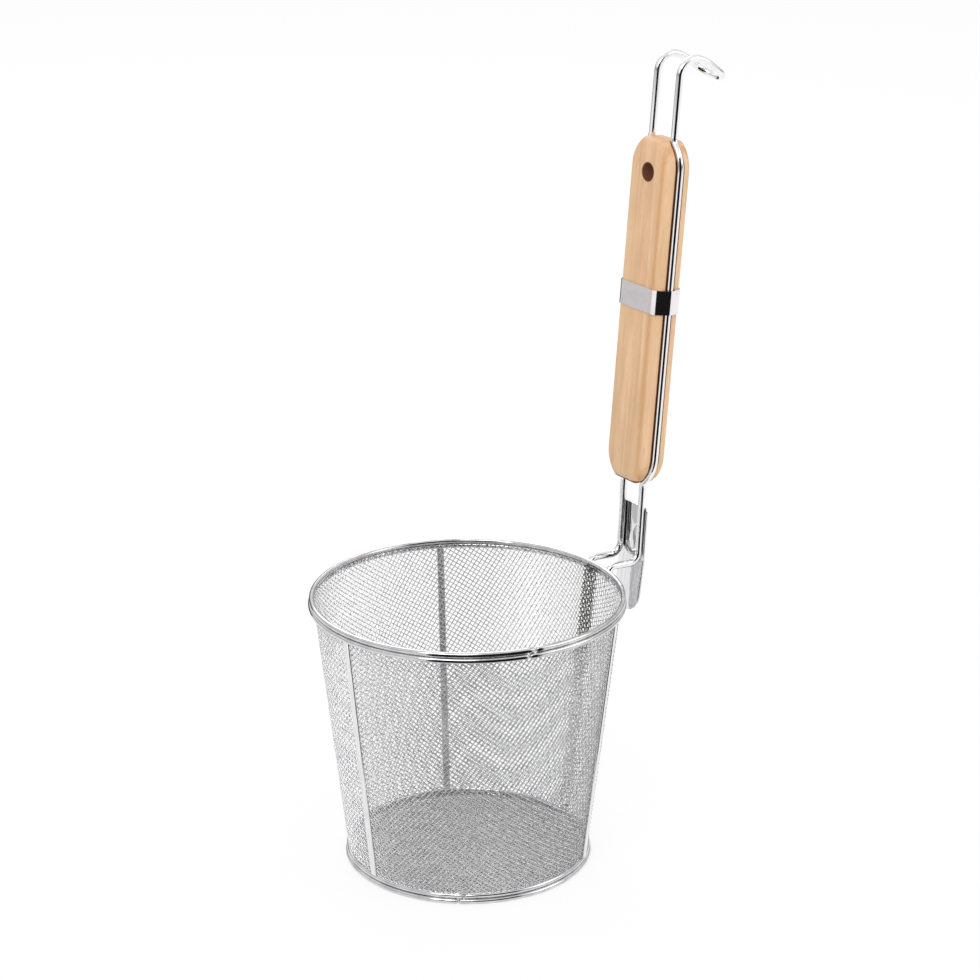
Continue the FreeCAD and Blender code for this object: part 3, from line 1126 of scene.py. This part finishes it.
    def clip(self) -> Shape:
        """Flat plate across the legs, with a round-ended tongue bent in a little.

        Returns:
            The plate.
        """
        tilt = math.cos(math.radians(self.leg_lean))
        low, high = -self.plate_reach[0] / tilt, self.plate_reach[1] / tilt
        half = self.plate_half
        tongue, corner = self.plate_rounds
        points = rounded_corner((half - tongue, low + tongue), tongue, -90, 12)
        points += rounded_corner((half - corner, high - corner), corner, 0, 6)
        outline = points + [(-side, height) for side, height in points[::-1]]
        shape = bmesh.new()
        shape.faces.new([shape.verts.new((0, side, height)) for side, height in outline])
        sheet = shape.verts[:] + shape.edges[:] + shape.faces[:]
        bmesh.ops.bisect_plane(shape, geom=sheet, plane_co=(0, 0, 0), plane_no=(0, 0, 1))
        for vert in shape.verts:
            vert.co.x = self.wire_r + min(vert.co.z, 0) * math.tan(math.radians(self.plate_fall))
        bmesh.ops.recalc_face_normals(shape, faces=shape.faces)
        if shape.faces[0].normal.x < 0:
            bmesh.ops.reverse_faces(shape, faces=shape.faces)
        made = bmesh.ops.extrude_face_region(shape, geom=shape.faces[:])["geom"]
        front = [item for item in made if isinstance(item, bmesh.types.BMVert)]
        bmesh.ops.translate(shape, vec=(self.plate_depth, 0, 0), verts=front)
        bmesh.ops.recalc_face_normals(shape, faces=shape.faces)
        joined = [edge for edge in shape.edges if len(edge.link_faces) == 2]
        sharp = [edge for edge in joined if edge.calc_face_angle() > SHARP_TURN]
        round_edges(shape, sharp, self.plate_edge, 2)
        return stood(shape, self.leg_lean, Vector((self.leg_x, 0, self.run_z)))

    def build(self) -> None:
        """Make every piece of the handle."""
        wire = wires([[point * MM for point in self.wire_path()]], self.wire_r, 6)
        settle("handle_bent_wire", wire, Finish.WIRE, ("handle_wire",), 60)
        settle("beech_grip", self.grip(), Finish.BEECH, ("wood_grip",))
        settle("collar_sheet", self.collar(), Finish.BAND, ("collar_band",), 50)
        settle("clip_sheet", self.clip(), Finish.PLATE, ("clip_plate",))


# The studio


def heading(turn: float, rise: float) -> Vector:
    """Direction of length 1.

    Args:
        turn: its turn about Z from +X, in degrees.
        rise: how steeply it rises, in degrees.

    Returns:
        The direction.
    """
    turn, rise = math.radians(turn), math.radians(rise)
    return Vector((math.cos(rise) * math.cos(turn), math.cos(rise) * math.sin(turn), math.sin(rise)))


@dataclass
class Studio:
    """Pale floor, soft light and the camera.

    Attributes:
        lens: focal length in millimetres.
        far: distance from the camera to the basket's middle, in metres.
        turn: where the camera stands about the basket, in degrees from +X.
        rise: how high it stands, in degrees.
        look: heading and fall of its view, in degrees.
        middle: height of the basket's middle, in metres.
        card_far: where the cards stand up, in metres from the basket's axis.
        card_z: height at which they lie, in metres.
    """

    lens: float = 105.93
    far: float = 1.334178
    turn: float = -123.41
    rise: float = 24.034
    look: Pair = (56.112, 19.461)
    middle: float = 0.065
    card_far: float = 1.7
    card_z: float = 0.0005

    def lamp(self, name: str, place: Triple, size: float, power: float) -> None:
        """Square soft lamp that faces the basket.

        Args:
            name: its name.
            place: where it hangs, in metres.
            size: its side, in metres.
            power: its power in watts.
        """
        data = bpy.data.lights.new(name, "AREA")
        data.size = size
        data.energy = power
        made = show(name, data)
        made.location = place
        made.rotation_euler = (LAMP_AIM - Vector(place)).to_track_quat("-Z", "Y").to_euler()

    def surroundings(self) -> None:
        """White surroundings for the eye and through glass; in reflections and as a light, a dimmer grey that
        is darkest just above the horizon.
        """
        world = bpy.data.worlds.new("studio")
        world.use_nodes = True
        bpy.context.scene.world = world
        nodes = Nodes(world.node_tree)
        rays = nodes.add("ShaderNodeLightPath").outputs
        kinds = (rays["Is Camera Ray"], rays["Is Transmission Ray"])
        seen = nodes.add("ShaderNodeMath", *kinds, operation="MAXIMUM")
        parts = nodes.add("ShaderNodeSeparateXYZ", nodes.add("ShaderNodeTexCoord").outputs["Generated"])
        greys = ((0.0, 0.62), (0.08, 0.30), (0.32, 0.95), (1.0, 1.0))
        height = nodes.ramp(parts.outputs["Z"], [(place, (grey, grey, grey)) for place, grey in greys])
        white = nodes.add("ShaderNodeBackground", Color=(1, 1, 1, 1), Strength=1.0)
        soft = nodes.add("ShaderNodeBackground", Color=height, Strength=0.9)
        nodes.add("ShaderNodeOutputWorld", nodes.add("ShaderNodeMixShader", seen, soft, white))

    def floor(self) -> None:
        """Wide white floor that keeps a soft shadow, with a painted shadow: it glows less in a disc under the
        basket.
        """
        material, nodes = new_material("floor")
        glow = nodes.add("ShaderNodeEmission", Color=(1, 1, 1, 1), Strength=1.0)
        matt = nodes.add("ShaderNodeBsdfDiffuse", Color=(0.9, 0.9, 0.9, 1))
        rays = nodes.add("ShaderNodeLightPath").outputs
        seen = nodes.add("ShaderNodeMath", rays["Is Camera Ray"], rays["Is Glossy Ray"], operation="MAXIMUM")
        place = nodes.add("ShaderNodeTexCoord").outputs["Object"]
        away = nodes.add("ShaderNodeVectorMath", place, operation="LENGTH")
        # Painted shadow: the floor glows less within 50 to 60 mm of the middle, under the basket
        under = nodes.smooth(away.outputs["Value"], 0.050, 0.060, (0.22, 0.86))
        share = nodes.add("ShaderNodeMath", seen, under, operation="MULTIPLY")
        nodes.add("ShaderNodeOutputMaterial", nodes.add("ShaderNodeMixShader", share, matt, glow))
        shape = bmesh.new()
        bmesh.ops.create_grid(shape, x_segments=2, y_segments=2, size=6)
        self.staged("floor", shape, material)

    def staged(self, name: str, shape: Shape, material: bpy.types.Material) -> bpy.types.Object:
        """Put a shape into the studio.

        Args:
            name: its name.
            shape: the shape, in metres.
            material: its material.

        Returns:
            The object.
        """
        mesh = meshed(name, shape)
        mesh.materials.append(material)
        made = show(name, mesh)
        return made

    def card(self, name: str, grey: float, turns: Pair, near: float, top: float) -> None:
        """Grey card that lies on the floor and stands up far out, and only shows in the steel.

        Args:
            name: its name.
            grey: its shade.
            turns: the two directions between which it lies, in degrees from +X.
            near: distance of its near edge from the basket's axis, in metres.
            top: height of its upright half, in metres.
        """
        material, nodes = new_material(name)
        glow = nodes.add("ShaderNodeEmission", Color=(grey, grey, grey, 1), Strength=1.0)
        nodes.add("ShaderNodeOutputMaterial", glow)
        shape = bmesh.new()
        rows = []
        for reach, height in ((near, self.card_z), (self.card_far, self.card_z), (self.card_far, top)):
            row = []
            for step in range(CARD_STEPS + 1):
                a = math.radians(turns[0] + (turns[1] - turns[0]) * step / CARD_STEPS)
                row.append(shape.verts.new((reach * math.cos(a), reach * math.sin(a), height)))
            rows.append(row)
        for inner, outer in zip(rows, rows[1:]):
            for step in range(CARD_STEPS):
                shape.faces.new((inner[step], outer[step], outer[step + 1], inner[step + 1]))
        made = self.staged(name, shape, material)
        made.visible_camera = False
        made.visible_diffuse = False
        made.visible_transmission = False
        made.visible_shadow = False

    def camera(self) -> None:
        """Camera at the photograph's place."""
        data = bpy.data.cameras.new("camera")
        data.lens = self.lens
        data.sensor_width = 36
        data.clip_start = 0.05
        made = show("camera", data)
        made.location = Vector((0, 0, self.middle)) + heading(self.turn, self.rise) * self.far
        ahead = heading(self.look[0], -self.look[1])
        made.rotation_mode = "QUATERNION"
        made.rotation_quaternion = ahead.to_track_quat("-Z", "Y")
        bpy.context.scene.camera = made

    def build(self) -> None:
        """Set up the studio."""
        bpy.context.scene.view_settings.view_transform = "Standard"
        self.surroundings()
        self.floor()
        self.card("front_card", 0.01, (-150.0, -74.0), 0.13, 1.45)
        self.card("rear_card", 0.10, (64.0, 100.0), 0.50, 0.30)
        self.card("side_card", 0.62, (100.0, 142.0), 1.15, 0.45)
        self.lamp("key", (-1.2, -1.0, 1.5), 1.2, 14)
        self.lamp("fill", (1.3, -1.2, 1.1), 1.2, 6)
        self.lamp("back", (0.6, 1.5, 1.4), 1.0, 8)
        self.camera()


def main() -> None:
    """Build the basket, its handle and the studio."""
    logging.basicConfig(level=logging.INFO, format="%(name)s: %(message)s")
    Basket().build()
    Handle().build()
    Studio().build()
    bpy.context.view_layer.update()


if __name__ == "__main__":
    main()
